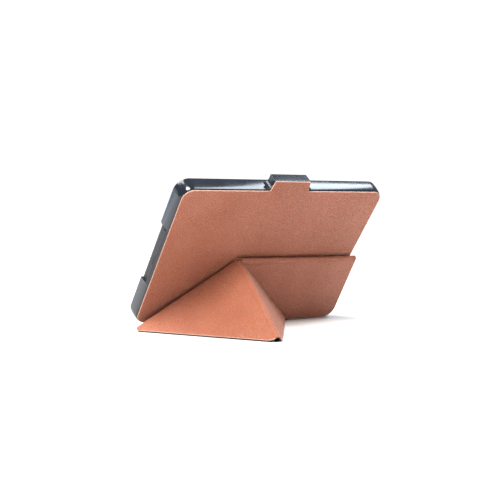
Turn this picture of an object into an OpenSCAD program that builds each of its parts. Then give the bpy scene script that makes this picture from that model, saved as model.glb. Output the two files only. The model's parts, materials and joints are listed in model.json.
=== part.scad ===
// Six-inch e-reader in a hard shell case, standing on its folded origami cover.
// Local "back" frame: x along the long edge, y up the short edge, z out of the
// back of the case. place() leans that frame back and sets it on the surface.

/* [Reader] */
// Length of the reader along its long edge
reader_l = 160; // [140:1:200]
// Width of the reader along its short edge
reader_w = 115; // [100:1:140]
// Thickness of the reader
reader_t = 9.1; // [8.6:0.1:14]
// Corner radius of the reader's outline
reader_corner = 7.2; // [6:0.1:12]
// Wall of the reader's rear cover
rear_wall = 1.3; // [1:0.1:2]
// Thickness of the front bezel
bezel_t = 1.3; // [0.9:0.1:2]
// Bezel between the top of the screen and the end of the reader
bezel_head = 14; // [11:0.5:20]
// Bezel between the bottom of the screen and the port end of the reader
bezel_chin = 24; // [20:0.5:32]
// Bezel along each long side of the screen
bezel_side = 12; // [8:0.5:18]

/* [Case shell] */
// Side wall of the hard shell
shell_wall = 1.9; // [1.5:0.1:3]
// Back wall of the hard shell
shell_back = 1.2; // [1:0.1:2]
// How far the shell's rim stands past the reader's bezel
rim_proud = 0.2; // [0.1:0.1:1]
// Radius along the shell's back edge
shell_round = 1.5; // [1:0.1:1.8]
// Length of the cut-out over the reader's port and button
port_cut_l = 46; // [40:1:60]
// Height of the back wall left under that cut-out
port_sill = 2.4; // [2:0.1:3.5]
// Length of the thumb tab on the upper long edge
tab_l = 29; // [20:1:40]
// Height of the thumb tab over that edge
tab_h = 6.7; // [4:0.1:8]
// How deep the tab is from the shell's back, less than the shell itself
tab_d = 7.6; // [6:0.1:10]
// Radius of the hollow fillets at the tab's two ends
tab_fillet = 3.2; // [2:0.1:4]
// Length of the magnet in the tab
magnet_l = 12; // [6:1:16]
// Thickness of the magnet in the tab
magnet_t = 1.6; // [1:0.1:2]

/* [Leather and panels] */
// Thickness of the leather skin
leather_t = 0.7; // [0.5:0.1:1.2]
// Thickness of the black microfibre lining
lining_t = 0.3; // [0.2:0.1:0.6]
// Thickness of the stiffening board in each cover panel
board_t = 0.9; // [0.6:0.1:1.6]
// Width of the lining turned up around each board
turn_w = 0.8; // [0.5:0.1:1.5]
// How far the back leather stays inside the shell's outline
leather_inset = 1.6; // [1.5:0.1:4]
// Half of the soft gap between two panels that close lining to lining
crease = 1.6; // [1.2:0.1:3]
// Room past the panel's thickness at the crease that closes leather to leather
crease_room = 0.3; // [0.2:0.1:1]

/* [Cover] */
// How far the cover reaches past each short end of the shell
cover_over = 0.5; // [0:0.1:1]
// How much narrower the cover is than the shell
cover_short = 6.2; // [5:0.1:9]
// How far the middle crease lies past the middle of the cover
crease_shift = 1.4; // [1:0.1:2]
// Angle between the middle crease and the lower left crease, in degrees
left_angle = 42.5; // [41.5:0.1:43.5]
// Angle between the middle crease and the flap's slanted crease, in degrees
foot_angle = 43.5; // [42.5:0.1:44.5]
// Radius of the cover's two free corners
free_corner = 8.5; // [3:0.5:12]
// Radius of the cover's two corners at the hinge
hinge_corner = 2.5; // [1:0.5:4]
// How far each end of the spine strip stays inside the shell
spine_inset = 13; // [5:1:25]

/* [Stand] */
// Angle between the lower half of the cover and the reader's back, in degrees
cover_lean = 4.2; // [3:0.1:6]
// How far the flap stands open from the lower half, in degrees
flap_open = 0.9; // [0.5:0.1:4]
// Height of the hinge line up the reader's back
hinge_y = 1.0; // [0.5:0.1:2]
// Distance of the hinge line from the reader's back
hinge_z = 7.9; // [7.4:0.1:10]
// Gap between the closed cover and the shell's rim
close_gap = 0.3; // [0.2:0.1:1]
// Distance of the spine strip's lining from the shell's lower edge when closed
spine_gap = 1.0; // [0.6:0.1:2]

/* [Port and button] */
// How far the micro-USB socket lies below the middle of the short edge
usb_down = 5; // [2:0.5:9]
// How far the power button lies above the middle of the short edge
button_up = 12; // [10:0.5:16]
// Length of the power button
button_l = 8; // [6:0.5:10]
// Height of the power button
button_h = 2.2; // [1.6:0.1:2.6]
// Travel of the power button
button_travel = 0.4; // [0.2:0.1:0.6]
// Clearance around the power button
button_gap = 0.15; // [0.1:0.05:0.3]

/* [Hidden] */

leather_col = "sienna";
lining_col = [0.08, 0.08, 0.09];
shell_col = [0.12, 0.13, 0.16];
board_col = [0.55, 0.5, 0.42];

$fn = 64;
e = 0.01;
fit = 0.1;
past = 1;

// Case
shell_l = reader_l + 2 * (shell_wall + fit);
shell_w = reader_w + 2 * (shell_wall + fit);
reader_x = shell_wall + fit;
reader_y = shell_wall + fit;
reader_back = -shell_back;
reader_front = reader_back - reader_t;
shell_t = shell_back + reader_t + rim_proud;
shell_corner = reader_corner + shell_wall;
tab_left = 1;
tab_x = shell_l / 2 - tab_left;
cut_y = shell_w / 2;
tab_skin = 1.4;
tongue_flare = 0.6;
tongue_inset = 0.4;
tongue_short = 0.3;
magnet_fit = 0.05;
magnet_deep = 3;

// Layers inside the reader, from the front
guide_t = 0.6;
panel_t = 0.9;
frame_t = 1.1;
pcb_t = 0.8;
side_gap = 0.3;
rear_round = 1.0;
bezel_back = reader_front + bezel_t;
guide_back = bezel_back + guide_t;
panel_back = guide_back + panel_t;
frame_back = panel_back + frame_t;
cavity_back = reader_back - rear_wall;
cavity_t = cavity_back - frame_back;
board_back = frame_back + pcb_t;
in_x = reader_x + rear_wall + side_gap;
in_y = reader_y + rear_wall + side_gap;
in_l = reader_l - 2 * (rear_wall + side_gap);
in_w = reader_w - 2 * (rear_wall + side_gap);
screen_l = reader_l - bezel_head - bezel_chin;
screen_w = reader_w - 2 * bezel_side;
screen_x = reader_x + bezel_chin;
screen_y = reader_y + bezel_side;

// Display stack: how far it runs under the bezel, and the strip at its port end
stack_over = 2.5;
stack_gap = 0.3;
stack_x = screen_x - stack_over;
stack_y = screen_y - stack_over;
stack_l = screen_l + 2 * stack_over;
stack_w = screen_w + 2 * stack_over;
strip_gap = 0.2;
strip_l = 2.2;
strip_t = 0.2;
strip_short = 6.5;
led_count = 5;
led_size = [1.6, 2, 0.4];
led_end = 14.5;
flex_l = 9;
flex_w = 36;
flex_t = 0.3;

// Main board at the port end, battery behind the rest of the display
pcb_l = 46;
pcb_gap = 1;
pcb_side = 4;
pcb_w = in_w - 2 * pcb_side;
pcb_x = in_x + pcb_gap;
pcb_y = in_y + pcb_side;
battery_side = 11;
battery_gap = 6;
battery_corner = 2;
battery_x = pcb_x + pcb_l + battery_gap;
battery_y = in_y + battery_side;
battery_w = in_w - 2 * battery_side;
antenna_l = 8;
antenna_w = 44;
antenna_end = 4;
antenna_x = in_x + in_l - antenna_end - antenna_l;
battery_l = antenna_x - battery_gap - battery_x;
can_t = 1.3;
can_side = 16;
can_corner = 0.8;
processor_can = [24, 28];
radio_can = [18, 16];
plug_l = 5;
lead_w = 4;
lead_t = 1.2;
plug_w = 6;
plug_t = 1.6;
lead_y = battery_y + 10;
sensor_x = pcb_x + 6;
sensor = [2.4, 2.8, 1];

// Screws: shank and head radii, head height, and how far in from the edges
frame_screw = [0.68, 1.5, 0.6];
board_screw = [0.88, 1.6, 0.7];
screw_fit = 0.02;
head_room = 0.3;
frame_screw_in = 5;
frame_screw_blind = 0.8;
board_screw_in = 3.5;

// Port end
usb_y = cut_y - usb_down;
button_y = cut_y + button_up;
usb_l = 7.6;
usb_d = 5.4;
usb_t = 2.6;
usb_wall = 0.35;
usb_recess = 0.5;
usb_fit = 0.2;
usb_chamfer = 0.7;
button_z = board_back + usb_t / 2;
button_proud = 0.3;
flange = 0.6;
flange_gap = 0.2;
switch_size = [3.2, 5, 2];
led_r = 0.75;
led_fit = 0.05;
led_y = (usb_y + button_y) / 2;

// Cover panels: x along the cover, y from the hinge, lining at z = 0 and up
panel_thick = leather_t + board_t + lining_t;
crease_out = panel_thick + crease_room;
cover_l = shell_l + 2 * cover_over;
cover_w = shell_w - cover_short;
cover_low = cover_w / 2 + crease_shift;
cover_up = cover_w / 2 - crease_shift;
cover_x = -cover_over;
apex_x = cover_low / tan(left_angle);
foot_x = apex_x + cover_up / tan(foot_angle);
fold_gap = 0.15;
A = [apex_x, cover_low];
S = [0, 0];
E = [cover_l, cover_low];
G = [foot_x, cover_w];
F = [0, cover_w];

// Fold of the rigid panels about the apex. The flap lies back over the lower
// half; the two triangles then meet where both keep their angles at the apex.
flap_fold = 180 - flap_open;
ridge_angle = atan(cover_up / apex_x);
angle_left = left_angle + ridge_angle;
angle_right = 180 - ridge_angle - foot_angle;
to_hinge = unit([-apex_x, -cover_low, 0]);
to_foot = unit([foot_x - apex_x, cover_up * cos(flap_fold), cover_up * sin(flap_fold)]);
mid_cos = to_hinge * to_foot;
mix_h = (cos(angle_left) - mid_cos * cos(angle_right)) / (1 - mid_cos * mid_cos);
mix_f = (cos(angle_right) - mid_cos * cos(angle_left)) / (1 - mid_cos * mid_cos);
in_plane = mix_h * to_hinge + mix_f * to_foot;
to_tip = in_plane + sqrt(1 - in_plane * in_plane) * unit(cross(to_hinge, to_foot));
flat_tip = unit([-apex_x, cover_up, 0]);
left_axis = unit([apex_x, cover_low, 0]);
right_axis = unit([foot_x - apex_x, cover_up, 0]);
left_fold = turn_about(left_axis, flat_tip, to_tip);
right_fold = turn_about(right_axis, flat_tip, turn_x(-flap_fold, to_tip));

// Spine strip: it is as long as the closed cover needs to reach over the rim
spine_y = -spine_gap;
spine_z = (pow(hinge_y - spine_y, 2) + pow(hinge_z, 2) - pow(shell_t + close_gap, 2))
    / (2 * (hinge_z + shell_t + close_gap));
spine_len = shell_t + close_gap + spine_z;
spine_dir = atan2(hinge_z - spine_z, hinge_y - spine_y);
spine_skin = 0.6;
spine_core = 0.6;
spine_thick = spine_skin + spine_core + lining_t;
spine_room = 0.16;
spine_start = leather_t + spine_room - spine_z;

// Magnets in the cover: one meets the wake sensor, one the tab, when it is closed
magnet_w = 4;
sensor_y = cut_y + 24;
wake_spot = [sensor_x + sensor[0] / 2 - cover_x, sensor_y - spine_y];
closing_in = 7;
closing_end = foot_x - (closing_in + magnet_w / 2) / tan(foot_angle)
    - (crease_out + turn_w + fit) / sin(foot_angle);
closing_spot = [min(tab_x - cover_x, closing_end - magnet_l / 2), cover_w - closing_in];

// Points of the cover's pieces in the back frame, and their height and reach.
// The left triangle's short edge lies on the surface, which sets the lean.
function up(p) = p[1] * sin(lean) - p[2] * cos(lean);
function out(p) = p[1] * cos(lean) + p[2] * sin(lean);
function cover_point(p) = [cover_x, hinge_y, hinge_z] + turn_x(-cover_lean, p);
function flap_point(p) = cover_point(crease_line + turn_x(flap_fold, p - crease_line));
function left_point(p) = cover_point(turn(left_axis, left_fold, p));
function right_point(p) = flap_point(apex + turn(right_axis, right_fold, p - apex));
crease_line = [0, cover_low, fold_gap];
apex = [apex_x, cover_low, 0];
tip_arc = arc([free_corner, cover_w - free_corner], free_corner, 90);
skin_z = [0, -panel_thick];
heel = left_point([0, hinge_corner, -panel_thick]);
toe = left_point([0, cover_w - free_corner, -panel_thick]);
lean = atan2(toe[2] - heel[2], toe[1] - heel[1]);
feet = concat(
    [for (p = tip_arc, z = skin_z) left_point([p[0], p[1], z])],
    [for (p = tip_arc, z = skin_z) right_point([p[0], p[1], z])],
    [for (z = skin_z) left_point([0, hinge_corner, z])],
    [for (z = skin_z) right_point([foot_x - crease_out * 1.5, cover_w, z])],
    [for (x = [foot_x + crease_out * 0.5, cover_l - free_corner], z = skin_z)
        flap_point([x, cover_w, z])],
    [for (z = skin_z) cover_point([cover_l / 2, crease, z])]
);
floor_z = min([for (p = feet) up(p)]);
rear_out = max([for (p = feet) out(p)]);
front_out = out([0, 0, -shell_t]);
mid_y = -(rear_out + front_out) / 2;
mid_x = (min(0, min([for (p = feet) p[0]])) + max(shell_l, cover_x + cover_l)) / 2;

function unit(v) = v / norm(v);
function turn_x(a, v) = [v[0], v[1] * cos(a) - v[2] * sin(a), v[1] * sin(a) + v[2] * cos(a)];
function turn(k, a, v) = v * cos(a) + cross(k, v) * sin(a) + k * (k * v) * (1 - cos(a));
function across(k, v) = v - k * (k * v);
function turn_about(k, v, w) =
    atan2(cross(across(k, v), across(k, w)) * k, across(k, v) * across(k, w));

// Moves the back frame to the standing place: origin under the middle, z up
module place() {
    translate([-mid_x, -mid_y, -floor_z]) rotate([180 - lean, 0, 0]) children();
}

// Plain box from its low corner and size
module box(p, s) {
    translate(p) cube(s);
}

// Outline with round corners, low corner at the origin
module round_rect(l, w, r) {
    translate([r, 0]) square([l - 2 * r, w]);
    translate([0, r]) square([l, w - 2 * r]);
    for (x = [r, l - r], y = [r, w - r]) translate([x, y]) circle(r);
}

// Slab whose far face (top, z = t) has a rounded edge of radius q
module round_slab(l, w, t, r, q) {
    linear_extrude(t - q) round_rect(l, w, r);
    translate([q, q, 0]) linear_extrude(t) round_rect(l - 2 * q, w - 2 * q, r - q);
    for (y = [q, w - q]) translate([r, y, t - q]) rotate([0, 90, 0]) cylinder(r = q, h = l - 2 * r);
    for (x = [q, l - q]) translate([x, r, t - q]) rotate([-90, 0, 0]) cylinder(r = q, h = w - 2 * r);
    for (x = [r, l - r], y = [r, w - r]) translate([x, y, t - q])
        rotate_extrude() translate([r - q, 0]) circle(q);
}

// Corner arc of an outline, as points, counter-clockwise from angle a0
function arc(c, r, a0) = [for (i = [0:8]) c + r * [cos(a0 + i * 90 / 8), sin(a0 + i * 90 / 8)]];

// Cover outline kept in by d, with its own corner radii
module cover_outline(d) {
    polygon(concat(
        arc([hinge_corner, hinge_corner], hinge_corner - d, 180),
        arc([cover_l - hinge_corner, hinge_corner], hinge_corner - d, 270),
        arc([cover_l - free_corner, cover_w - free_corner], free_corner - d, 0),
        arc([free_corner, cover_w - free_corner], free_corner - d, 90)
    ));
}

// Corner of a convex outline after its two edges move in by d0 and d1
function inset_corner(p, q, r, d0, d1) =
    let (u = unit(q - p), v = unit(r - q), m = [-u[1], u[0]], n = [-v[1], v[0]])
    let (a = q + m * d0, b = q + n * d1, s = u[0] * v[1] - u[1] * v[0])
    a + u * ((b[0] - a[0]) * v[1] - (b[1] - a[1]) * v[0]) / s;

// Panel between creases: pts run counter-clockwise, d[i] belongs to edge i to i + 1
module panel(pts, d, all) {
    n = len(pts);
    intersection() {
        cover_outline(all);
        polygon([for (i = [0:n - 1]) inset_corner(
            pts[(i + n - 1) % n], pts[i], pts[(i + 1) % n],
            d[(i + n - 1) % n] + all, d[i] + all)]);
    }
}

module lower_shape(all = 0) {
    panel([S, [cover_l, 0], E, A], [crease, 0, crease, crease], all);
}

module flap_shape(all = 0) {
    panel([A, E, [cover_l, cover_w], G], [crease, 0, 0, crease_out], all);
}

module left_shape(all = 0) {
    panel([A, F, S], [crease, 0, crease], all);
}

module right_shape(all = 0) {
    panel([A, G, F], [crease_out, 0, crease], all);
}

// The three layers of a panel whose outline is children(0), lining at z = 0
module skin_layer() {
    translate([0, 0, -panel_thick]) linear_extrude(leather_t) children();
}

module board_layer() {
    translate([0, 0, -lining_t - board_t]) linear_extrude(board_t) children();
}

module lining_layer() {
    difference() {
        translate([0, 0, -lining_t - board_t]) linear_extrude(lining_t + board_t) children(0);
        translate([0, 0, -lining_t - board_t - 1]) linear_extrude(board_t + 1) children(1);
    }
}

// Frames of the cover's moving pieces in the folded stand
module at_lower() {
    translate([cover_x, hinge_y, hinge_z]) rotate([-cover_lean, 0, 0]) children();
}

module at_flap() {
    at_lower() translate([0, cover_low, fold_gap]) rotate([flap_fold, 0, 0])
        translate([0, -cover_low, -fold_gap]) children();
}

module at_left() {
    at_lower() rotate(a = left_fold, v = left_axis) children();
}

module at_right() {
    at_flap() translate([apex_x, cover_low, 0]) rotate(a = right_fold, v = right_axis)
        translate([-apex_x, -cover_low, 0]) children();
}

module at_spine() {
    translate([0, spine_y, spine_z]) rotate([spine_dir, 0, 0]) children();
}

// Case shell

// Hollow round where the tab's end runs into the shell, cut from a square
module tab_end(side) {
    translate([tab_x + side * tab_l / 2, shell_w, 0]) difference() {
        translate([side < 0 ? -tab_fillet : 0, -e]) square([tab_fillet, tab_fillet + e]);
        translate([side * tab_fillet, tab_fillet]) circle(tab_fillet);
    }
}

module tab_outline() {
    translate([tab_x - tab_l / 2, shell_w - shell_wall]) square([tab_l, shell_wall + tab_h]);
    for (side = [-1, 1]) tab_end(side);
}

// Block about the tab's magnet, larger than it by gap all round
module magnet_room(gap) {
    translate([tab_x, shell_w + (tab_h - shell_wall) / 2, -tab_d + tab_skin + magnet_t / 2])
        cube([magnet_l, magnet_deep, magnet_t] + 2 * gap * [1, 1, 1], center = true);
}

module case_shell() {
    color(shell_col) place() difference() {
        union() {
            translate([0, 0, -shell_t]) round_slab(shell_l, shell_w, shell_t, shell_corner, shell_round);
            translate([0, 0, -tab_d]) linear_extrude(tab_d) tab_outline();
        }
        translate([shell_wall, shell_wall, -shell_t - past])
            linear_extrude(shell_t - shell_back + past)
            round_rect(shell_l - 2 * shell_wall, shell_w - 2 * shell_wall, shell_corner - shell_wall);
        box([-past, cut_y - port_cut_l / 2, -shell_t - past],
            [shell_wall + 2 * past, port_cut_l, shell_t - port_sill + past]);
        magnet_room(magnet_fit);
    }
}

module tab_magnet() {
    color("silver") place() magnet_room(0);
}

module back_leather() {
    color(leather_col) place() linear_extrude(leather_t) {
        translate([leather_inset, leather_inset])
            round_rect(shell_l - 2 * leather_inset, shell_w - 2 * leather_inset,
                shell_corner - leather_inset);
        polygon([for (end = [[-1, tongue_flare, 0], [1, tongue_flare, 0],
                [1, -tongue_inset, 1], [-1, -tongue_inset, 1]])
            [tab_x + end[0] * (tab_l / 2 + end[1]),
                end[2] == 1 ? shell_w + tab_h - tongue_short : shell_w - leather_inset - past]]);
    }
}

// Reader

// Cutter for a window l by h in the port end, larger by gap all round
module end_window(y, l, h, gap) {
    translate([reader_x + rear_wall / 2, y, button_z])
        cube([rear_wall + 2 * past, l + 2 * gap, h + 2 * gap], center = true);
}

module reader_rear_cover() {
    color([0.2, 0.2, 0.21]) place() difference() {
        translate([reader_x, reader_y, bezel_back])
            round_slab(reader_l, reader_w, reader_back - bezel_back, reader_corner, rear_round);
        translate([reader_x + rear_wall, reader_y + rear_wall, bezel_back - past])
            linear_extrude(cavity_back - bezel_back + past)
            round_rect(reader_l - 2 * rear_wall, reader_w - 2 * rear_wall, reader_corner - rear_wall);
        end_window(usb_y, usb_l, usb_t, usb_fit);
        end_window(button_y, button_l, button_h, button_gap);
        translate([reader_x - past, led_y, button_z]) rotate([0, 90, 0])
            cylinder(r = led_r + led_fit, h = rear_wall + 2 * past);
    }
}

module reader_bezel() {
    color([0.05, 0.05, 0.055]) place() difference() {
        translate([reader_x, reader_y, reader_front])
            linear_extrude(bezel_t) round_rect(reader_l, reader_w, reader_corner);
        box([screen_x, screen_y, reader_front - past], [screen_l, screen_w, bezel_t + 2 * past]);
    }
}

module light_guide() {
    color([0.85, 0.9, 0.9, 0.5]) place()
        box([stack_x, stack_y, bezel_back], [stack_l, stack_w, guide_t]);
}

module eink_panel() {
    color([0.8, 0.8, 0.76]) place()
        box([stack_x, stack_y, guide_back], [stack_l, stack_w, panel_t]);
}

module led_strip() {
    color("gold") place() translate([stack_x - strip_gap - strip_l, stack_y, bezel_back]) {
        box([0, strip_short, 0], [strip_l, stack_w - 2 * strip_short, strip_t]);
        for (i = [0:led_count - 1])
            box([strip_l - led_size[0],
                led_end + i * (stack_w - 2 * led_end - led_size[1]) / (led_count - 1), strip_t], led_size);
    }
}

module display_flex() {
    color("darkgoldenrod") place()
        box([stack_x - flex_l, screen_y + (screen_w - flex_w) / 2, guide_back],
            [flex_l, flex_w, flex_t]);
}

// Places of the four screws that hold the mid frame to the bezel
module frame_holes() {
    for (x = [frame_screw_in, in_l - frame_screw_in], y = [frame_screw_in, in_w - frame_screw_in])
        translate([in_x + x, in_y + y, 0]) children();
}

module mid_frame() {
    color([0.6, 0.61, 0.63]) place() difference() {
        union() {
            translate([in_x, in_y, panel_back]) linear_extrude(frame_t)
                round_rect(in_l, in_w, reader_corner - rear_wall - side_gap);
            difference() {
                translate([in_x, in_y, bezel_back]) linear_extrude(panel_back - bezel_back)
                    round_rect(in_l, in_w, reader_corner - rear_wall - side_gap);
                box([stack_x - flex_l - past, stack_y - stack_gap, bezel_back - past],
                    [stack_l + flex_l + past + stack_gap, stack_w + 2 * stack_gap,
                        panel_back - bezel_back + 2 * past]);
            }
        }
        frame_holes() translate([0, 0, bezel_back + frame_screw_blind])
            cylinder(r = frame_screw[0] + screw_fit, h = reader_t);
    }
}

module frame_screws() {
    color("silver") place() frame_holes() {
        translate([0, 0, bezel_back + past])
            cylinder(r = frame_screw[0], h = frame_back - bezel_back - past);
        translate([0, 0, frame_back]) cylinder(r = frame_screw[1], h = frame_screw[2]);
    }
}

module battery() {
    color([0.35, 0.36, 0.38]) place() translate([battery_x, battery_y, frame_back])
        linear_extrude(cavity_t - side_gap) round_rect(battery_l, battery_w, battery_corner);
}

module battery_lead() {
    color("firebrick") place() {
        box([battery_x - battery_gap, lead_y, board_back], [battery_gap, lead_w, lead_t]);
        box([battery_x - battery_gap - plug_l, lead_y - (plug_w - lead_w) / 2, board_back],
            [plug_l, plug_w, plug_t]);
    }
}

// Places of the two screws that hold the main board to the mid frame
module board_holes() {
    for (y = [board_screw_in, pcb_w - board_screw_in])
        translate([pcb_x + pcb_l - board_screw_in, pcb_y + y, 0]) children();
}

module main_board() {
    color("darkgreen") place() difference() {
        box([pcb_x, pcb_y, frame_back], [pcb_l, pcb_w, pcb_t]);
        board_holes() translate([0, 0, frame_back - past])
            cylinder(r = board_screw[0] + screw_fit, h = pcb_t + 2 * past);
        frame_holes() translate([0, 0, frame_back - past])
            cylinder(r = frame_screw[1] + head_room, h = pcb_t + 2 * past);
    }
}

module board_screws() {
    color("silver") place() board_holes() {
        translate([0, 0, frame_back]) cylinder(r = board_screw[0], h = pcb_t);
        translate([0, 0, board_back]) cylinder(r = board_screw[1], h = board_screw[2]);
    }
}

// Tinned can over a group of chips, its low corner at x and y on the main board
module shield_can(x, y, size) {
    color("silver") place() translate([pcb_x + x, pcb_y + y, board_back])
        linear_extrude(can_t) round_rect(size[0], size[1], can_corner);
}

module processor_shield() {
    shield_can(can_side, can_side, processor_can);
}

module radio_shield() {
    shield_can(can_side, pcb_w - can_side - radio_can[1], radio_can);
}

module usb_socket() {
    color("silver") place() difference() {
        box([reader_x + usb_recess, usb_y - usb_l / 2, board_back], [usb_d + usb_wall, usb_l, usb_t]);
        box([reader_x - past, usb_y - usb_l / 2 + usb_wall, board_back + usb_wall],
            [usb_recess + usb_d + past, usb_l - 2 * usb_wall, usb_t - 2 * usb_wall]);
        for (s = [-1, 1]) translate([reader_x, usb_y + s * usb_l / 2, board_back]) rotate([0, 90, 0])
            cylinder(r = usb_chamfer, h = 2 * usb_d, $fn = 4);
    }
}

module power_switch() {
    color("dimgray") place()
        box([reader_x + rear_wall + flange + button_travel, button_y - switch_size[1] / 2, board_back],
            switch_size);
}

module charge_led() {
    color("darkorange") place() translate([reader_x + flange_gap, led_y, button_z])
        rotate([0, 90, 0]) cylinder(r = led_r, h = rear_wall + past);
}

module wifi_antenna() {
    color("goldenrod") place()
        box([antenna_x, in_y + battery_side, frame_back], [antenna_l, antenna_w, flex_t]);
}

module wake_sensor() {
    color("black") place()
        box([sensor_x, sensor_y - sensor[1] / 2, board_back], sensor);
}

module power_button() {
    color([0.1, 0.1, 0.11]) place() union() {
        translate([reader_x - button_proud, button_y, button_z]) rotate([0, 90, 0])
            linear_extrude(rear_wall + button_proud) {
                square([button_h, button_l - button_h], center = true);
                for (s = [-1, 1]) translate([0, s * (button_l - button_h) / 2]) circle(button_h / 2);
            }
        translate([reader_x + rear_wall + (flange - flange_gap) / 2, button_y, button_z])
            cube([flange - flange_gap, button_l + 2 * flange, button_h + 2 * flange_gap], center = true);
    }
}

// Spine strip

module spine_strip(low, high, end) {
    translate([spine_inset + end, spine_start + end, low])
        cube([shell_l - 2 * (spine_inset + end), spine_len - spine_start - crease - 2 * end, high - low]);
}

module spine_leather() {
    color(leather_col) place() at_spine() spine_strip(-spine_thick, spine_skin - spine_thick, 0);
}

module spine_board() {
    color(board_col) place() at_spine()
        spine_strip(spine_skin - spine_thick, -lining_t, turn_w);
}

module spine_lining() {
    color(lining_col) place() at_spine() difference() {
        spine_strip(spine_skin - spine_thick, 0, 0);
        spine_strip(spine_skin - spine_thick - 1, -lining_t, turn_w);
    }
}

// Lower half of the cover

module lower_leather() {
    color(leather_col) place() at_lower() skin_layer() lower_shape();
}

module lower_board() {
    color(board_col) place() at_lower() board_layer() lower_shape(turn_w);
}

module lower_lining() {
    color(lining_col) place() at_lower() lining_layer() {
        lower_shape();
        lower_shape(turn_w);
    }
}

// Flap

module flap_leather() {
    color(leather_col) place() at_flap() skin_layer() flap_shape();
}

module flap_board() {
    color(board_col) place() at_flap() board_layer() flap_shape(turn_w);
}

module flap_lining() {
    color(lining_col) place() at_flap() lining_layer() {
        flap_shape();
        flap_shape(turn_w);
    }
}

// Flat magnet in a board's window, centred on a point of the cover
module cover_magnet(p, l, grow, deep) {
    translate([p[0], p[1], -lining_t - board_t / 2])
        cube([l + 2 * grow, magnet_w + 2 * grow, board_t + 2 * deep], center = true);
}

// Left triangle

module left_leather() {
    color(leather_col) place() at_left() skin_layer() left_shape();
}

module left_board() {
    color(board_col) place() at_left() difference() {
        board_layer() left_shape(turn_w);
        cover_magnet(wake_spot, magnet_w, fit, 1);
    }
}

module left_lining() {
    color(lining_col) place() at_left() lining_layer() {
        left_shape();
        left_shape(turn_w);
    }
}

module wake_magnet() {
    color("silver") place() at_left() cover_magnet(wake_spot, magnet_w, 0, 0);
}

// Right triangle

module right_leather() {
    color(leather_col) place() at_right() skin_layer() right_shape();
}

module right_board() {
    color(board_col) place() at_right() difference() {
        board_layer() right_shape(turn_w);
        cover_magnet(closing_spot, magnet_l, fit, 1);
    }
}

module right_lining() {
    color(lining_col) place() at_right() lining_layer() {
        right_shape();
        right_shape(turn_w);
    }
}

module closing_magnet() {
    color("silver") place() at_right() cover_magnet(closing_spot, magnet_l, 0, 0);
}

case_shell();
back_leather();
tab_magnet();
reader_rear_cover();
reader_bezel();
light_guide();
eink_panel();
led_strip();
display_flex();
mid_frame();
battery();
battery_lead();
main_board();
processor_shield();
radio_shield();
usb_socket();
power_switch();
charge_led();
wifi_antenna();
wake_sensor();
board_screws();
frame_screws();
power_button();
spine_leather();
spine_board();
spine_lining();
lower_leather();
lower_board();
lower_lining();
flap_leather();
flap_board();
flap_lining();
left_leather();
left_board();
left_lining();
wake_magnet();
right_leather();
right_board();
right_lining();
closing_magnet();
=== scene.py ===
import json
import math

import bpy
import numpy as np
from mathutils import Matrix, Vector


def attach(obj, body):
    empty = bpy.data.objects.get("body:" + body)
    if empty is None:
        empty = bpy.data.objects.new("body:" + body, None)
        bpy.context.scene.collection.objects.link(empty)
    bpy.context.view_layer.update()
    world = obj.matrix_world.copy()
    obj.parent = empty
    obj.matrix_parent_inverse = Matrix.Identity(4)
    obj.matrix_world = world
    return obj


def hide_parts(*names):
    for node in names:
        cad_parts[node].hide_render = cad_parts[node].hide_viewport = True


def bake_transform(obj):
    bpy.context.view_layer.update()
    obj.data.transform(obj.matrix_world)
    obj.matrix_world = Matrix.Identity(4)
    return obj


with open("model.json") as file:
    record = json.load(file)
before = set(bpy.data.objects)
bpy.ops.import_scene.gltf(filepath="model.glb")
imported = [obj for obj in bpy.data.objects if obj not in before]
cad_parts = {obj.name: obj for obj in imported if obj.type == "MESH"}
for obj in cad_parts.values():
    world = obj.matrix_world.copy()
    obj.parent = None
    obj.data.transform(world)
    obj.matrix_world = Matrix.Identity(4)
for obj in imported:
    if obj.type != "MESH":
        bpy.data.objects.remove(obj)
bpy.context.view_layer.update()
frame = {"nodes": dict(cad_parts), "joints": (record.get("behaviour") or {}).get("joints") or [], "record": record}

# The view and the light: a camera low behind the port end of the reader, a soft sun
# from above its left shoulder, a strip box that draws the bright line along the shell's
# side, a wide box for the leather's sheen, a blue card, and a pale room with a white wall.
heading, tilt, roll = (math.radians(a) for a in (32.60, -2.35, 0.22))
camera = bpy.data.objects.new("camera", bpy.data.cameras.new("camera"))
camera.data.sensor_width = 36
camera.data.lens = 67.8
camera.location = (-0.3623, -0.5411, 0.0820)
camera.rotation_euler = (math.pi / 2 + tilt, roll, -heading)
bpy.context.scene.collection.objects.link(camera)
bpy.context.scene.camera = camera


def soft_box(name, direction, distance, size, power, colour):
    """Rectangular area light at a direction and a distance from the object, facing it."""
    light = bpy.data.objects.new(name, bpy.data.lights.new(name, "AREA"))
    aim = Vector(direction).normalized()
    light.data.shape = "RECTANGLE"
    light.data.size, light.data.size_y = size
    light.data.energy = power
    light.data.color = colour
    light.location = Vector((0, 0, 0.05)) + aim * distance
    light.rotation_euler = aim.to_track_quat("Z", "Y").to_euler()
    bpy.context.scene.collection.objects.link(light)


soft_box("strip_box", (0.538, -0.17, 0.82), 1.0, (0.60, 0.20), 5.5, (0.82, 0.91, 1))
soft_box("sheen_box", (-0.37, 0.39, 0.845), 1.0, (0.6, 0.6), 14, (1, 0.97, 0.96))
soft_box("blue_card", (-0.56, 0.82, 0.05), 1.2, (0.9, 0.6), 2.6, (0.70, 0.84, 1))

sun = bpy.data.objects.new("soft_sun", bpy.data.lights.new("soft_sun", "SUN"))
sun.data.energy = 5.6
sun.data.angle = math.radians(28)
sun.data.color = (1, 0.97, 0.93)
sun.rotation_euler = Vector((-0.35, -0.38, 0.86)).to_track_quat("Z", "Y").to_euler()
bpy.context.scene.collection.objects.link(sun)

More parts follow.
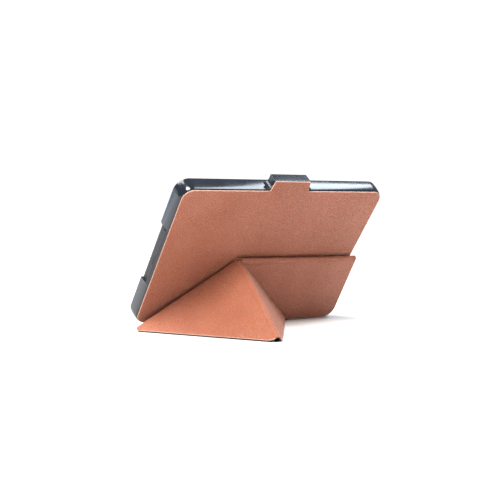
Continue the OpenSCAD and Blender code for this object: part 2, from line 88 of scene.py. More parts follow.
room = bpy.data.worlds.new("pale_room")
room.use_nodes = True
air = room.node_tree
place = air.nodes.new("ShaderNodeTexCoord")
facing = air.nodes.new("ShaderNodeVectorMath")
facing.operation = "DOT_PRODUCT"
level_part = math.cos(tilt)
ahead = (math.sin(heading) * level_part, math.cos(heading) * level_part, math.sin(tilt))
facing.inputs[1].default_value = ahead
wall = air.nodes.new("ShaderNodeMapRange")
wall.interpolation_type = "SMOOTHSTEP"
wall.inputs["From Min"].default_value = 0.86
wall.inputs["From Max"].default_value = 0.93
wall.inputs["To Min"].default_value = 0.36
wall.inputs["To Max"].default_value = 1.1
air.links.new(place.outputs["Generated"], facing.inputs[0])
air.links.new(facing.outputs["Value"], wall.inputs["Value"])
air.links.new(wall.outputs["Result"], air.nodes["Background"].inputs["Strength"])
air.nodes["Background"].inputs["Color"].default_value = (1, 1, 1, 1)
bpy.context.scene.world = room
bpy.context.scene.view_settings.view_transform = "Standard"


# The surface it stands on: a plain pale table top, matt and slightly uneven in tone.
# It is one flat sheet that runs out of view on every side.
MM = 0.001


def mesh_object(name, points, faces):
    """Object called name, at the origin, from points (n, 3) in metres and faces as lists of point numbers."""
    mesh = bpy.data.meshes.new(name)
    mesh.from_pydata(np.asarray(points, float).reshape(-1, 3).tolist(), [], faces)
    mesh.update()
    piece = bpy.data.objects.new(name, mesh)
    bpy.context.scene.collection.objects.link(piece)
    return piece


def new_material(name):
    """Empty node material with its Principled shader, and that shader."""
    material = bpy.data.materials.new(name)
    material.use_nodes = True
    return material, material.node_tree.nodes["Principled BSDF"]


def mottle_group():
    """Group: two noises at object position, added as 0.35 of the fine one to the stretched slow one, and what
    that share picks between two colours and two roughnesses; the fine noise is the height."""
    group = bpy.data.node_groups.new("mottle", "ShaderNodeTree")
    face = group.interface
    starts = {"Patch Scale": 40, "Speck Scale": 3000, "Low Roughness": 0.4, "High Roughness": 0.6}
    for label, start in starts.items():
        face.new_socket(label, in_out="INPUT", socket_type="NodeSocketFloat").default_value = start
    for label in ("Low Colour", "High Colour"):
        face.new_socket(label, in_out="INPUT", socket_type="NodeSocketColor")
    face.new_socket("Color", in_out="OUTPUT", socket_type="NodeSocketColor")
    for label in ("Roughness", "Height"):
        face.new_socket(label, in_out="OUTPUT", socket_type="NodeSocketFloat")
    add, link = group.nodes.new, group.links.new
    inp, out = add("NodeGroupInput"), add("NodeGroupOutput")
    place = add("ShaderNodeTexCoord")
    patch, speck = add("ShaderNodeTexNoise"), add("ShaderNodeTexNoise")
    patch.inputs["Detail"].default_value = 3
    speck.inputs["Detail"].default_value = 1
    for noise, scale in ((patch, "Patch Scale"), (speck, "Speck Scale")):
        link(place.outputs["Object"], noise.inputs["Vector"])
        link(inp.outputs[scale], noise.inputs["Scale"])
    share = add("ShaderNodeMath")
    share.operation = "MULTIPLY_ADD"
    share.inputs[1].default_value = 0.35
    link(speck.outputs["Fac"], share.inputs[0])
    offset = add("ShaderNodeMapRange")
    offset.inputs["From Min"].default_value = 0.3
    offset.inputs["From Max"].default_value = 0.7
    offset.inputs["To Max"].default_value = 0.65
    link(patch.outputs["Fac"], offset.inputs["Value"])
    link(offset.outputs["Result"], share.inputs[2])
    mix = add("ShaderNodeMix")
    mix.data_type = "RGBA"
    link(share.outputs["Value"], mix.inputs["Factor"])
    link(inp.outputs["Low Colour"], mix.inputs[6])
    link(inp.outputs["High Colour"], mix.inputs[7])
    rough = add("ShaderNodeMapRange")
    link(share.outputs["Value"], rough.inputs["Value"])
    link(inp.outputs["Low Roughness"], rough.inputs["To Min"])
    link(inp.outputs["High Roughness"], rough.inputs["To Max"])
    link(mix.outputs[2], out.inputs["Color"])
    link(rough.outputs["Result"], out.inputs["Roughness"])
    link(speck.outputs["Fac"], out.inputs["Height"])
    return group


mottle = mottle_group()


def plain_finish(name, low, high, patch, speck, rough, metal=0.0, depth=0.02, level=0.5):
    """Material whose colour and roughness drift between two values, with a fine moulded or cast tooth."""
    material, shader = new_material(name)
    tree = material.node_tree
    tone = tree.nodes.new("ShaderNodeGroup")
    tone.node_tree = mottle
    tone.inputs["Patch Scale"].default_value = patch
    tone.inputs["Speck Scale"].default_value = speck
    tone.inputs["Low Colour"].default_value = (*low, 1)
    tone.inputs["High Colour"].default_value = (*high, 1)
    tone.inputs["Low Roughness"].default_value = rough[0]
    tone.inputs["High Roughness"].default_value = rough[1]
    bump = tree.nodes.new("ShaderNodeBump")
    bump.inputs["Distance"].default_value = depth * MM
    tree.links.new(tone.outputs["Color"], shader.inputs["Base Color"])
    tree.links.new(tone.outputs["Roughness"], shader.inputs["Roughness"])
    tree.links.new(tone.outputs["Height"], bump.inputs["Height"])
    tree.links.new(bump.outputs["Normal"], shader.inputs["Normal"])
    shader.inputs["Metallic"].default_value = metal
    shader.inputs["Specular IOR Level"].default_value = level
    return material


table_finish = plain_finish(
    "table_top", (0.66, 0.66, 0.66), (0.68, 0.68, 0.68), 6, 900, (0.6, 0.7), level=0.2)
table_half = 6.0
table_corners = np.array([(-1, -1, 0), (1, -1, 0), (1, 1, 0), (-1, 1, 0)]) * table_half
table = mesh_object("table_top", table_corners, [(0, 1, 2, 3)])
table.data.materials.append(table_finish)

# The case's hard shell: one shallow injection-moulded tray of black glossy plastic,
# 1.9 mm thick at its sides, with a rounded back edge and a cut-out over the port.
nodes = frame["nodes"]
mounts = {m["name"]: m for m in frame["record"]["mounts"]}
back_normal = -np.array(mounts["front_rim"]["axis"], float)
along = np.array([1.0, 0, 0])
upward = np.cross(back_normal, along)
axes = np.array([along, upward, back_normal])


def vertices_of(node):
    """The vertices of a CAD node as an (n, 3) array in the row frame."""
    mesh = nodes[node].data
    points = np.empty(len(mesh.vertices) * 3, np.float32)
    mesh.vertices.foreach_get("co", points)
    return points.reshape(-1, 3).astype(float)


def reach(node):
    """Lowest and highest place of a CAD node along the reader's own three directions."""
    spread = vertices_of(node) @ axes.T
    return spread.min(0), spread.max(0)


shell_low, shell_high = reach("case_shell")
magnet_low, magnet_high = reach("tab_magnet")
tab_height = 6.7 * MM
tab_deep = 7.6 * MM
shell_wall = 1.9 * MM
shell_floor = 1.2 * MM
shell_corner = 9.1 * MM
shell_edge = 1.5 * MM
rim_edge = 0.35 * MM
back = shell_high[2]
shell_length, shell_depth = shell_high[0] - shell_low[0], shell_high[2] - shell_low[2]
shell_width = shell_high[1] - shell_low[1] - tab_height
corner_steps = 12


def placed(flat, height):
    """Points (n, 2) on the shell's back, from its low corner, lifted by height, in the row frame."""
    flat = np.asarray(flat, float)
    local = np.column_stack([flat + shell_low[:2], back + np.broadcast_to(height, len(flat))])
    return local @ axes


def round_outline(low, high, radius):
    """Rectangle from low to high with round corners, counter-clockwise: each of its four quarter circles is a
    corner centre plus the radius times the cosine and the sine of a quarter turn."""
    radius = max(radius, 0.02 * MM)
    centres = np.array([[high[0] - radius, high[1] - radius], [low[0] + radius, high[1] - radius],
                        [low[0] + radius, low[1] + radius], [high[0] - radius, low[1] + radius]])
    turn = np.linspace(0, math.pi / 2, corner_steps)
    angle = turn[None, :] + np.arange(4)[:, None] * math.pi / 2
    ring = centres[:, None, :] + radius * np.stack([np.cos(angle), np.sin(angle)], -1)
    return ring.reshape(-1, 2)


def loft(name, rings):
    """Skin over rings (r, n, 3): quads join each ring to the next, and a face closes each end."""
    rings = np.asarray(rings, float)
    count, size = rings.shape[:2]
    i, j = np.meshgrid(np.arange(count - 1), np.arange(size), indexing="ij")
    a, b = i * size, (i + 1) * size
    quads = np.stack([a + j, a + (j + 1) % size, b + (j + 1) % size, b + j], -1).reshape(-1, 4).tolist()
    quads.append(list(range(size))[::-1])
    quads.append([(count - 1) * size + k for k in range(size)])
    return mesh_object(name, rings, quads)


def smooth(piece, angle=40):
    """Smooth shading, crisp at edges sharper than angle in degrees; area weights keep flat faces flat."""
    piece.data.polygons.foreach_set("use_smooth", np.ones(len(piece.data.polygons), bool))
    piece.data.set_sharp_from_angle(angle=math.radians(angle))
    weights = piece.modifiers.new("weights", "WEIGHTED_NORMAL")
    weights.keep_sharp = True
    return piece


def quarter(radius, steps=6):
    """Quarter circle as (inset, rise) pairs, from the side of an edge to its top."""
    turn = np.linspace(0, math.pi / 2, steps)
    return np.stack([radius * (1 - np.cos(turn)), radius * np.sin(turn)], -1)


port_length = 46 * MM
port_sill = 2.4 * MM
port_round = 1.0 * MM
port_low = shell_width / 2 - port_length / 2
port_high = shell_width / 2 + port_length / 2


def with_port_points(ring):
    """The outline with extra points on its port side, at the cut-out's two ends."""
    start = 2 * corner_steps - 1
    step = np.linspace(0, 1, 9)
    upper = port_high + port_round * step
    lower = port_low - port_round * step
    heights = np.concatenate([upper[::-1], lower])
    extra = np.column_stack([np.full(len(heights), ring[start, 0]), heights])
    return np.concatenate([ring[:start + 1], extra, ring[start + 1:]])


def rim_height(ring):
    """Height of the rim at each outline point: the front rim, or the sill inside the cut-out, and half a
    cosine wave between the two."""
    beyond = np.maximum(port_low - ring[:, 1], ring[:, 1] - port_high) / port_round
    share = np.clip(beyond, 0, 1)
    ease = 0.5 - 0.5 * np.cos(math.pi * share)
    on_side = ring[:, 0] < shell_wall + 0.5 * MM
    inside = on_side & (beyond < 1)
    return np.where(inside, -port_sill + (port_sill - shell_depth) * ease, -shell_depth)


round_kept = 1.25 * MM
bulge_high = 9.0 * MM
rim_inset = 0.1 * MM


def shell_ring(inset, height):
    """One ring of the shell: its outline moved in by inset, at height. Past round_kept, heights are scaled
    down where the rim is low, so that the same section ends at the cut-out's sill."""
    far = (shell_length - inset, shell_width - inset)
    flat = with_port_points(round_outline((inset, inset), far, shell_corner - inset))
    drop = -rim_height(flat)
    squeezed = -round_kept + (height + round_kept) * (drop - round_kept) / (shell_depth - round_kept)
    return placed(flat, np.where(height > -round_kept, height, squeezed))


# Its side is barrelled: a quarter ellipse from the flat back to the widest place, and
# a slight draw back in from there to the small round of the rim.
turn = np.linspace(0, math.pi / 2, 12)
section = [(shell_edge * (1 - math.sin(a)), -bulge_high * (1 - math.cos(a))) for a in turn]
fall = shell_depth - rim_edge - bulge_high
section += [(rim_inset * (1 - math.cos(a)), -bulge_high - fall * math.sin(a)) for a in turn[1:]]
lip = quarter(rim_edge, 4)
section += [(rim_inset + inset, rim_edge - rise - shell_depth) for inset, rise in lip[1:]]
section += [(shell_wall - inset, rim_edge - rise - shell_depth) for inset, rise in lip[::-1]]
shell_rings = [shell_ring(inset, height) for inset, height in section]
shell_rings.append(shell_ring(shell_wall, -shell_floor))
case = smooth(loft("case_tray", shell_rings))


shell_finish = plain_finish(
    "polished_black_plastic", (0.006, 0.009, 0.016), (0.010, 0.014, 0.023), 60, 2200, (0.10, 0.17),
    depth=0.002)
case.data.materials.append(shell_finish)
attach(case, "reader_in_case")

# The thumb tab: a lug moulded in one with the shell's upper edge, not quite as deep
# as the shell, with hollow fillets at both ends. A magnet sits in it behind a thin skin.
tab_length = 29 * MM
tab_fillet = 3.2 * MM
tab_edge = 0.5 * MM
tab_corner = 0.5 * MM
tab_middle = (magnet_low[0] + magnet_high[0]) / 2 - shell_low[0]
tab_sunk = 1.2 * MM


def tab_outline():
    """Outline of the tab, made of quarter circles: a hollow fillet up, a small round corner at each end of
    the flat top, and a fillet down, closed inside the shell's wall."""
    half = tab_length / 2
    turn = np.linspace(0, math.pi / 2, 10)
    hollow = np.stack([1 - np.sin(turn), 1 - np.cos(turn)], -1)
    fillet = [half, 0] + tab_fillet * hollow
    bow = np.stack([np.cos(turn[::3]) - 1, np.sin(turn[::3]) - 1], -1)
    round_end = [half, tab_height] + tab_corner * bow
    right = np.concatenate([[[half + tab_fillet, -tab_sunk]], fillet, round_end])
    left = right[::-1] * [-1, 1]
    return np.concatenate([right, left]) + [tab_middle, shell_width]


def inward(ring, distance):
    """A closed counter-clockwise outline moved in by distance: each point goes along the sum of the normals
    of its two sides, scaled so that both sides move by that distance; very sharp corners are held back."""
    ahead = np.roll(ring, -1, 0) - ring
    ahead /= np.maximum(np.linalg.norm(ahead, axis=1, keepdims=True), 1e-12)
    normal = np.stack([-ahead[:, 1], ahead[:, 0]], -1)
    both = normal + np.roll(normal, 1, 0)
    sharpest = 0.5
    scale = 2 / np.maximum((both ** 2).sum(1, keepdims=True), sharpest)
    return ring + both * scale * distance


tab_profile = [(inset, -tab_edge + rise) for inset, rise in quarter(tab_edge)[::-1]]
tab_profile += [(inset, -tab_deep + tab_edge - rise) for inset, rise in quarter(tab_edge)]
tab_rings = [placed(inward(tab_outline(), inset), height) for inset, height in tab_profile]
tab = smooth(loft("case_tab", tab_rings))
tab.data.materials.append(shell_finish)
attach(tab, "reader_in_case")
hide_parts("case_shell")

# Leather: split cowhide with a pebbled, pigmented grain, 0.7 mm thick, glued to the
# shell and to the boards. Its cut edges are raw and paler than its face.


def pebble_group():
    """Group: the distance to the borders of warped cells, eased into domes, with a quarter of a fine noise on
    top, is the height; what is left between the domes is the valley; a slow noise is the tone."""
    group = bpy.data.node_groups.new("pebble_grain", "ShaderNodeTree")
    face = group.interface
    face.new_socket("Grain Scale", in_out="INPUT", socket_type="NodeSocketFloat").default_value = 1100
    for label in ("Height", "Valley", "Tone"):
        face.new_socket(label, in_out="OUTPUT", socket_type="NodeSocketFloat")
    add, link = group.nodes.new, group.links.new
    inp, out = add("NodeGroupInput"), add("NodeGroupOutput")
    place = add("ShaderNodeTexCoord")
    warp = add("ShaderNodeTexNoise")
    warp.inputs["Scale"].default_value = 420
    warp.inputs["Detail"].default_value = 2
    link(place.outputs["Object"], warp.inputs["Vector"])
    bend = add("ShaderNodeVectorMath")
    bend.operation = "MULTIPLY_ADD"
    bend.inputs[1].default_value = (0.0009, 0.0009, 0.0009)
    link(warp.outputs["Color"], bend.inputs[0])
    link(place.outputs["Object"], bend.inputs[2])
    cells = add("ShaderNodeTexVoronoi")
    cells.feature = "DISTANCE_TO_EDGE"
    link(bend.outputs["Vector"], cells.inputs["Vector"])
    link(inp.outputs["Grain Scale"], cells.inputs["Scale"])
    dome = add("ShaderNodeMapRange")
    dome.interpolation_type = "SMOOTHSTEP"
    dome.inputs["From Max"].default_value = 0.28
    link(cells.outputs["Distance"], dome.inputs["Value"])
    fine = add("ShaderNodeTexNoise")
    fine.inputs["Scale"].default_value = 5200
    fine.inputs["Detail"].default_value = 1
    link(place.outputs["Object"], fine.inputs["Vector"])
    height = add("ShaderNodeMath")
    height.operation = "MULTIPLY_ADD"
    height.inputs[1].default_value = 0.25
    link(fine.outputs["Fac"], height.inputs[0])
    link(dome.outputs["Result"], height.inputs[2])
    valley = add("ShaderNodeMath")
    valley.operation = "SUBTRACT"
    valley.inputs[0].default_value = 1
    link(dome.outputs["Result"], valley.inputs[1])
    slow = add("ShaderNodeTexNoise")
    slow.inputs["Scale"].default_value = 26
    slow.inputs["Detail"].default_value = 4
    link(place.outputs["Object"], slow.inputs["Vector"])
    link(height.outputs["Value"], out.inputs["Height"])
    link(valley.outputs["Value"], out.inputs["Valley"])
    link(slow.outputs["Fac"], out.inputs["Tone"])
    return group


def leather_material():
    """Brown pigmented leather: two browns by tone, painted shade darkening the grain's valleys, a pale cut edge, a
    sheen and a relief.
    """
    material, shader = new_material("pebbled_brown_leather")
    tree = material.node_tree
    add, link = tree.nodes.new, tree.links.new
    grain = add("ShaderNodeGroup")
    grain.node_tree = pebble_group()
    grain.inputs["Grain Scale"].default_value = 950
    tone = add("ShaderNodeValToRGB")
    tone.color_ramp.elements[0].position = 0.35
    tone.color_ramp.elements[0].color = (0.39, 0.118, 0.052, 1)
    tone.color_ramp.elements[1].position = 0.68
    tone.color_ramp.elements[1].color = (0.45, 0.15, 0.078, 1)
    link(grain.outputs["Tone"], tone.inputs["Fac"])
    # Painted shade: the base colour is multiplied darker in the grain's valleys, where shade would fall.
    valley_painted_shade = add("ShaderNodeMix")
    valley_painted_shade.data_type = "RGBA"
    valley_painted_shade.blend_type = "MULTIPLY"
    valley_painted_shade.inputs[7].default_value = (0.62, 0.52, 0.5, 1)
    valley_shade_share = add("ShaderNodeMath")
    valley_shade_share.operation = "MULTIPLY"
    valley_shade_share.inputs[1].default_value = 0.8
    link(grain.outputs["Valley"], valley_shade_share.inputs[0])
    link(valley_shade_share.outputs["Value"], valley_painted_shade.inputs["Factor"])
    link(tone.outputs["Color"], valley_painted_shade.inputs[6])
    cut = add("ShaderNodeAttribute")
    cut.attribute_name = "cut"
    raw = add("ShaderNodeMix")
    raw.data_type = "RGBA"
    raw.inputs[7].default_value = (0.62, 0.36, 0.27, 1)
    link(cut.outputs["Fac"], raw.inputs["Factor"])
    link(valley_painted_shade.outputs[2], raw.inputs[6])
    link(raw.outputs[2], shader.inputs["Base Color"])
    rough = add("ShaderNodeMapRange")
    rough.inputs["To Min"].default_value = 0.36
    rough.inputs["To Max"].default_value = 0.62
    link(grain.outputs["Valley"], rough.inputs["Value"])
    link(rough.outputs["Result"], shader.inputs["Roughness"])
    bump = add("ShaderNodeBump")
    bump.inputs["Distance"].default_value = 0.25 * MM
    link(grain.outputs["Height"], bump.inputs["Height"])
    link(bump.outputs["Normal"], shader.inputs["Normal"])
    shader.inputs["Specular IOR Level"].default_value = 0.5
    shader.inputs["Sheen Weight"].default_value = 0.15
    shader.inputs["Sheen Roughness"].default_value = 0.4
    return material


leather = leather_material()
leather_thick = 0.7 * MM
skin_round = 0.18 * MM


def mark_cut(piece, values):
    """Stores on each vertex how much of the raw cut edge shows there: 0 on the face, 1 on the edge."""
    attribute = piece.data.attributes.new("cut", "FLOAT", "POINT")
    attribute.data.foreach_set("value", np.asarray(values, np.float32).ravel())


def skin_profile(thick):
    """(inset, rise, cut) down a leather edge: face, small round that starts part raw, raw side, underside."""
    rounding = [(inset, thick - skin_round + rise, 1.0) for inset, rise in quarter(skin_round, 5)[::-1]]
    rounding[0] = (*rounding[0][:2], 0.35)
    return [(2.5 * skin_round, thick, 0.0)] + rounding + [(0, 0, 1.0)]


# Back leather: one patch inside the shell's outline, with a tongue that runs up the
# back of the thumb tab and flares into the patch through two small fillets.
leather_inset = 1.6 * MM
tongue_base = tab_length / 2 + 0.6 * MM
tongue_top = tab_length / 2 - 0.4 * MM
tongue_end = shell_width + tab_height - 0.3 * MM
tongue_fillet = 1.6 * MM
tongue_corner = 0.5 * MM


def back_outline():
    """Rounded rectangle whose upper side carries the tongue: two slanted sides, which leave it through
    quarter circles and end in small round corners."""
    low, high = np.array([leather_inset] * 2), np.array([shell_length, shell_width]) - leather_inset
    ring = round_outline(low, high, shell_corner - leather_inset)
    turn = np.linspace(0, math.pi / 2, 7)
    flare = [tongue_base, high[1]] + tongue_fillet * np.stack([1 - np.sin(turn), 1 - np.cos(turn)], -1)
    bow = np.stack([np.cos(turn[::2]) - 1, np.sin(turn[::2]) - 1], -1)
    round_end = [tongue_top, tongue_end] + tongue_corner * bow
    right = np.concatenate([flare, round_end]) + [tab_middle, 0]
    left = right[::-1] * [-1, 1] + [2 * tab_middle, 0]
    return np.concatenate([ring[:corner_steps], right, left, ring[corner_steps:]])


back_profile = skin_profile(leather_thick)
back_ring = back_outline()
back_layers = [placed(inward(back_ring, inset), rise) for inset, rise, _ in back_profile]
back_skin = smooth(loft("back_leather_skin", back_layers))
mark_cut(back_skin, np.repeat([c for *_, c in back_profile], len(back_ring)))
back_skin.data.materials.append(leather)
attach(back_skin, "reader_in_case")
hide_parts("back_leather")

# The cover's four panels and its spine: leather on the outside of a stiff board. Each
# skin is cut to the outline of its panel and keeps a square edge where it runs into a
# crease, so that the crease's own strip of leather carries on from it.


def outer_face(leather_node, lining_node):
    """Outline of a skin's outer face, counter-clockwise from outside, with its normal and thickness: the
    vertices highest along the normal, sorted by their angle about the middle of the face."""
    points = vertices_of(leather_node)
    centre = points.mean(0)
    normal = np.linalg.svd(points - centre)[2][2]
    normal *= np.sign((centre - vertices_of(lining_node).mean(0)) @ normal)
    height = (points - centre) @ normal
    thick = height.max() - height.min()
    face = points[height > height.max() - 0.02 * MM]
    middle = (face.max(0) + face.min(0)) / 2
    along_no_panel = [0.3, 0.5, 0.8]
    right = np.cross(normal, along_no_panel)
    right /= np.linalg.norm(right)
    ahead = np.cross(normal, right)
    angle = np.arctan2((face - middle) @ ahead, (face - middle) @ right)
    ring = face[np.argsort(angle)]
    apart = np.linalg.norm(ring - np.roll(ring, 1, 0), axis=1) > 0.01 * MM
    return ring[apart], normal, thick


shortest_fold = 20 * MM


def edges_between(ring_a, ring_b):
    """Numbers of the two edges that face each other across a crease: the long pair with the nearest ends."""
    best = (math.inf, 0, 0)
    for i in range(len(ring_a)):
        a0, a1 = ring_a[i], ring_a[(i + 1) % len(ring_a)]
        for j in range(len(ring_b)):
            b0, b1 = ring_b[j], ring_b[(j + 1) % len(ring_b)]
            if min(np.linalg.norm(a1 - a0), np.linalg.norm(b1 - b0)) < shortest_fold:
                continue
            best = min(best, (np.linalg.norm(a0 - b1) + np.linalg.norm(a1 - b0), i, j))
    return best[1:]


def inset_each(ring, normal, amounts):
    """The outline with each side moved in by its own amount; a corner goes where its two moved sides meet,
    and a point on a nearly straight run moves by the mean of the two."""
    side = np.roll(ring, -1, 0) - ring
    side /= np.linalg.norm(side, axis=1, keepdims=True)
    inner = np.cross(normal, side)
    before, held = np.roll(inner, 1, 0), np.roll(amounts, 1)
    cos = (inner * before).sum(1)
    straight = cos > 0.995
    sin2 = np.where(straight, 1, 1 - cos ** 2)
    ahead = (amounts - held * cos) / sin2
    behind = (held - amounts * cos) / sin2
    corner = ahead[:, None] * inner + behind[:, None] * before
    return ring + np.where(straight[:, None], inner * ((amounts + held) / 2)[:, None], corner)


panels = {
    "spine": ("spine_leather", "spine_lining"),
    "lower_half": ("lower_leather", "lower_lining"),
    "flap": ("flap_leather", "flap_lining"),
    "left_triangle": ("left_leather", "left_lining"),
    "right_triangle": ("right_leather", "right_lining"),
}
faces = {body: outer_face(*pair) for body, pair in panels.items()}
folds = [("spine", "lower_half"), ("lower_half", "flap"), ("lower_half", "left_triangle"),
         ("flap", "right_triangle"), ("left_triangle", "right_triangle")]
fold_edges = {pair: edges_between(faces[pair[0]][0], faces[pair[1]][0]) for pair in folds}
creased = {body: set() for body in panels}
for (a, b), (i, j) in fold_edges.items():
    creased[a].add(i)
    creased[b].add(j)

for body, (leather_node, lining_node) in panels.items():
    ring, normal, thick = faces[body]
    free = np.array([0.0 if i in creased[body] else 1.0 for i in range(len(ring))])
    raw = np.maximum(free, np.roll(free, 1))
    profile = skin_profile(thick)
    layers = [inset_each(ring, normal, free * inset) + normal * (rise - thick)
              for inset, rise, _ in profile]
    skin = smooth(loft(leather_node + "_skin", layers))
    mark_cut(skin, np.concatenate([raw * c for *_, c in profile]))
    skin.data.materials.append(leather)
    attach(skin, body)
    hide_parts(leather_node)

# The creases: between two panels there is no board, only the leather with the black
# lining glued to its inside. Each pair of strips is shaped round the fold as it stands; only the ridge's halves
# ride their panels.
joints = {j["name"]: j for j in frame["joints"]}


def felt_material():
    """Black microfibre lining: short matted fibres as distorted, stretched noise, with a faint sheen."""
    material, shader = new_material("black_microfibre")
    tree = material.node_tree
    add, link = tree.nodes.new, tree.links.new
    place = add("ShaderNodeTexCoord")
    stretch = add("ShaderNodeMapping")
    stretch.inputs["Scale"].default_value = (1, 3, 2)
    fibres = add("ShaderNodeTexNoise")
    fibres.inputs["Scale"].default_value = 1500
    fibres.inputs["Detail"].default_value = 3
    fibres.inputs["Distortion"].default_value = 1.2
    tone = add("ShaderNodeValToRGB")
    tone.color_ramp.elements[0].position = 0.3
    tone.color_ramp.elements[0].color = (0.006, 0.006, 0.007, 1)
    tone.color_ramp.elements[1].position = 0.75
    tone.color_ramp.elements[1].color = (0.022, 0.022, 0.024, 1)
    bump = add("ShaderNodeBump")
    bump.inputs["Distance"].default_value = 0.06 * MM
    link(place.outputs["Object"], stretch.inputs["Vector"])
    link(stretch.outputs["Vector"], fibres.inputs["Vector"])
    link(fibres.outputs["Fac"], tone.inputs["Fac"])
    link(tone.outputs["Color"], shader.inputs["Base Color"])
    link(fibres.outputs["Fac"], bump.inputs["Height"])
    link(bump.outputs["Normal"], shader.inputs["Normal"])
    shader.inputs["Roughness"].default_value = 0.92
    shader.inputs["Specular IOR Level"].default_value = 0.25
    shader.inputs["Sheen Weight"].default_value = 0.3
    shader.inputs["Sheen Roughness"].default_value = 0.5
    return material


lining = felt_material()
lining_thick = 0.3 * MM
press_depth = 0.16 * MM
press_width = 0.45 * MM


def band(edge_a, normal_a, edge_b, normal_b, skin, low, high, share=(0, 1), fullness=0.4):
    """Cross-sections of one layer that turns a fold. A cubic Bezier curve leaves each edge in its panel's
    plane along the middle of the skin, with handles of fullness times the gap, and the layer's faces lie low
    and high over it. A bell curve of the way from the nearer edge presses the outer face in by each board."""
    run = edge_a[1] - edge_a[0]
    run = run / np.linalg.norm(run)
    leave_a, leave_b = np.cross(run, normal_a), -np.cross(run, normal_b)
    t = np.linspace(share[0], share[1], 17 if share == (0, 1) else 9)[:, None]
    sections = []
    for s in np.linspace(0, 1, 9):
        start = edge_a[0] + s * (edge_a[1] - edge_a[0]) - normal_a * skin / 2
        end = edge_b[1] + s * (edge_b[0] - edge_b[1]) - normal_b * skin / 2
        hold = fullness * np.linalg.norm(end - start)
        p1, p2 = start + leave_a * hold, end + leave_b * hold
        curve = (1 - t) ** 3 * start + t ** 3 * end
        curve += 3 * (1 - t) ** 2 * t * p1 + 3 * (1 - t) * t ** 2 * p2
        ahead = (1 - t) ** 2 * (p1 - start) + 2 * (1 - t) * t * (p2 - p1) + t ** 2 * (end - p2)
        ahead /= np.linalg.norm(ahead, axis=1, keepdims=True)
        out = np.cross(ahead, run)
        out /= np.linalg.norm(out, axis=1, keepdims=True)
        away = np.minimum(np.linalg.norm(curve - start, axis=1), np.linalg.norm(curve - end, axis=1))
        pressed = press_depth * np.exp(-(away / press_width) ** 2)[:, None]
        top = curve + out * (high - (pressed if high > 0 else 0))
        under = curve + out * low
        sections.append(np.concatenate([top, under[::-1]]))
    return np.array(sections)


apex = np.array(joints["right_crease"]["pos_m"])


def towards_apex(edge, amount):
    """The edge drawn out by amount at its end nearer to the point where the creases meet."""
    first = int(np.linalg.norm(edge[0] - apex) > np.linalg.norm(edge[1] - apex))
    ahead = edge[first] - edge[1 - first]
    moved = edge.copy()
    moved[first] += ahead / np.linalg.norm(ahead) * amount
    return moved


def bend(strip, pair, edge_a, edge_b):
    """Bakes the strip's placement into its mesh and leaves it unattached, so it keeps the shape it was built in;
    pair, edge_a and edge_b are not used.
    """
    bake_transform(strip)


def fold_strips(name, pair, halves=False, fullness=0.4, drawn_out=0.0):
    """Leather and lining strips of one crease, shaped round it as it stands. The ridge, where no joint joins its
    two
    panels, has halves: each strip is split along the fold and each half rides its own panel."""
    (ring_a, normal_a, skin_a), (ring_b, normal_b, skin_b) = faces[pair[0]], faces[pair[1]]
    i, j = fold_edges[pair]
    edge_a = np.array([ring_a[i], ring_a[(i + 1) % len(ring_a)]])
    edge_b = np.array([ring_b[j], ring_b[(j + 1) % len(ring_b)]])
    if pair[0] == "spine":
        edge_b[:, 0] = edge_a[::-1, 0]
    edge_a, edge_b = towards_apex(edge_a, drawn_out), towards_apex(edge_b, drawn_out)
    skin = min(skin_a, skin_b)
    parts = (("_near", (0, 0.5)), ("_far", (0.5, 1))) if halves else (("", (0, 1)),)
    layers = (("leather", -skin / 2, skin / 2, leather),
              ("lining", -skin / 2 - lining_thick, -skin / 2, lining))
    for layer, low, high, finish in layers:
        for part, share in parts:
            rings = band(edge_a, normal_a, edge_b, normal_b, skin, low, high, share, fullness)
            strip = smooth(loft(name + "_" + layer + part, rings), 50)
            mark_cut(strip, np.zeros(len(strip.data.vertices)))
            strip.data.materials.append(finish)
            if halves:
                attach(strip, pair[0] if part == "_near" else pair[1])
            else:
                bend(strip, pair, edge_a, edge_b)


fold_reach = (0, 3.0 * MM, 2.0 * MM, 1.6 * MM)
fold_fullness = (0.4, 1.0, 0.66, 0.7)
for pair, drawn_out, fullness in zip(folds[:4], fold_reach, fold_fullness):
    fold_strips(pair[0] + "_to_" + pair[1], pair, fullness=fullness, drawn_out=drawn_out)
fold_strips("ridge", folds[4], halves=True, fullness=0.6, drawn_out=2.4 * MM)

# Hinge to the shell: the back leather runs on past its lower edge, turns round the
# shell's corner and becomes the spine's skin.
spine_ring, spine_normal, spine_skin = faces["spine"]
hinge_line = np.array(joints["cover_swing"]["pos_m"])
spine_sides = [k for k in range(len(spine_ring))
               if np.linalg.norm(spine_ring[k] - spine_ring[(k + 1) % len(spine_ring)]) > shortest_fold]
near_side = min(spine_sides, key=lambda k: np.linalg.norm((spine_ring[k] - hinge_line)[1:]))
spine_edge = np.array([spine_ring[near_side], spine_ring[(near_side + 1) % len(spine_ring)]])
patch_edge = axes.T @ [0, shell_low[1] + leather_inset, back + leather_thick]
back_edge = np.array([[spine_edge[k, 0], *patch_edge[1:]] for k in (1, 0)])
hinge_layers = (("leather", -spine_skin / 2, spine_skin / 2, leather),
                ("lining", -spine_skin / 2 - lining_thick / 2, -spine_skin / 2, lining))
for layer, low, high, finish in hinge_layers:
    rings = band(back_edge, back_normal, spine_edge, spine_normal, spine_skin, low, high)
    hinge = smooth(loft("cover_hinge_" + layer, rings), 50)
    mark_cut(hinge, np.zeros(len(hinge.data.vertices)))
    hinge.data.materials.append(finish)
    bend(hinge, ("reader_in_case", "spine"), back_edge, spine_edge)

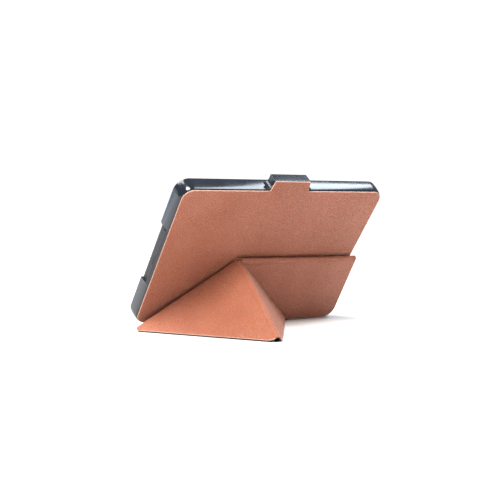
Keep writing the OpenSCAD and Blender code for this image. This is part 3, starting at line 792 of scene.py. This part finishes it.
# Linings and boards of the cover: stiff grey board of pressed paper fibre, glued under
# each skin, with the black microfibre glued over it and turned round its edges.
board_finish = plain_finish(
    "grey_board", (0.2, 0.19, 0.17), (0.3, 0.285, 0.26), 90, 2600, (0.8, 0.95), depth=0.03, level=0.3)


def dress(node, finish):
    """Gives a CAD node its material."""
    piece = nodes[node]
    piece.data.materials.clear()
    piece.data.materials.append(finish)


for name in ("spine", "lower", "flap", "left", "right"):
    dress(name + "_lining", lining)
    dress(name + "_board", board_finish)

# Magnets: nickel-plated flat blocks. The long pair holds the tab to the cover's free
# corner, the small square one tells the reader that the cover is shut.
nickel = plain_finish(
    "nickel_plate", (0.52, 0.5, 0.47), (0.62, 0.6, 0.57), 120, 4000, (0.18, 0.34), metal=1.0, depth=0.004)
for name in ("tab_magnet", "closing_magnet", "wake_magnet"):
    dress(name, nickel)

# The reader's own housing: a rear cover and a bezel of matt black plastic with a
# soft-touch tooth, clipped together round the screen.
matt_black = plain_finish(
    "soft_touch_black", (0.01, 0.0105, 0.012), (0.017, 0.018, 0.02), 50, 3600, (0.5, 0.66))
bezel_black = plain_finish(
    "bezel_black", (0.012, 0.012, 0.013), (0.019, 0.019, 0.021), 50, 3600, (0.42, 0.55), depth=0.012)
dress("reader_rear_cover", matt_black)
dress("reader_bezel", bezel_black)
dress("power_button", matt_black)

# Screen: light guide of clear plastic, shown by its matt face and a hint of the panel
# behind it; the panel itself is pale grey electronic paper.
guide_finish = plain_finish(
    "light_guide_face", (0.40, 0.41, 0.39), (0.43, 0.44, 0.42), 30, 5200, (0.5, 0.6), depth=0.004)
paper_finish = plain_finish(
    "electronic_paper", (0.42, 0.43, 0.41), (0.5, 0.51, 0.48), 60, 6000, (0.7, 0.85), depth=0.004)
dress("light_guide", guide_finish)
dress("eink_panel", paper_finish)

# Inside the reader: the stamped frame screwed under the screen, the main board with its
# steel shields and socket, the foil battery, and the small parts soldered or glued on.
frame_metal = plain_finish(
    "stamped_magnesium", (0.32, 0.33, 0.34), (0.46, 0.47, 0.48), 70, 2600, (0.38, 0.55), metal=0.9)
steel = plain_finish(
    "bright_steel", (0.5, 0.5, 0.49), (0.64, 0.64, 0.63), 160, 4200, (0.2, 0.36), metal=1.0, depth=0.004)
foil = plain_finish(
    "battery_foil", (0.50, 0.50, 0.50), (0.62, 0.62, 0.61), 45, 900, (0.28, 0.5), metal=0.8, depth=0.06)
board_green = plain_finish(
    "solder_mask", (0.005, 0.05, 0.022), (0.009, 0.085, 0.036), 220, 2400, (0.3, 0.5))
film = plain_finish(
    "polyimide_film", (0.26, 0.085, 0.012), (0.37, 0.13, 0.02), 130, 2600, (0.3, 0.46), depth=0.01)
lead_finish = plain_finish(
    "lead_insulation", (0.3, 0.012, 0.01), (0.4, 0.02, 0.015), 100, 2400, (0.4, 0.55), depth=0.01)
lens = plain_finish(
    "lens_plastic", (0.6, 0.58, 0.5), (0.72, 0.7, 0.62), 150, 3000, (0.2, 0.32), depth=0.004)
dark_part = plain_finish(
    "moulded_part", (0.012, 0.012, 0.012), (0.03, 0.03, 0.03), 150, 3000, (0.4, 0.6))
inner_parts = {
    "mid_frame": frame_metal, "battery": foil, "battery_lead": lead_finish, "main_board": board_green,
    "processor_shield": steel, "radio_shield": steel, "usb_socket": steel, "power_switch": dark_part,
    "charge_led": lens, "wifi_antenna": film, "wake_sensor": dark_part, "board_screws": steel,
    "frame_screws": steel, "display_flex": film, "led_strip": lens,
}
for name, finish in inner_parts.items():
    dress(name, finish)

bpy.context.view_layer.update()
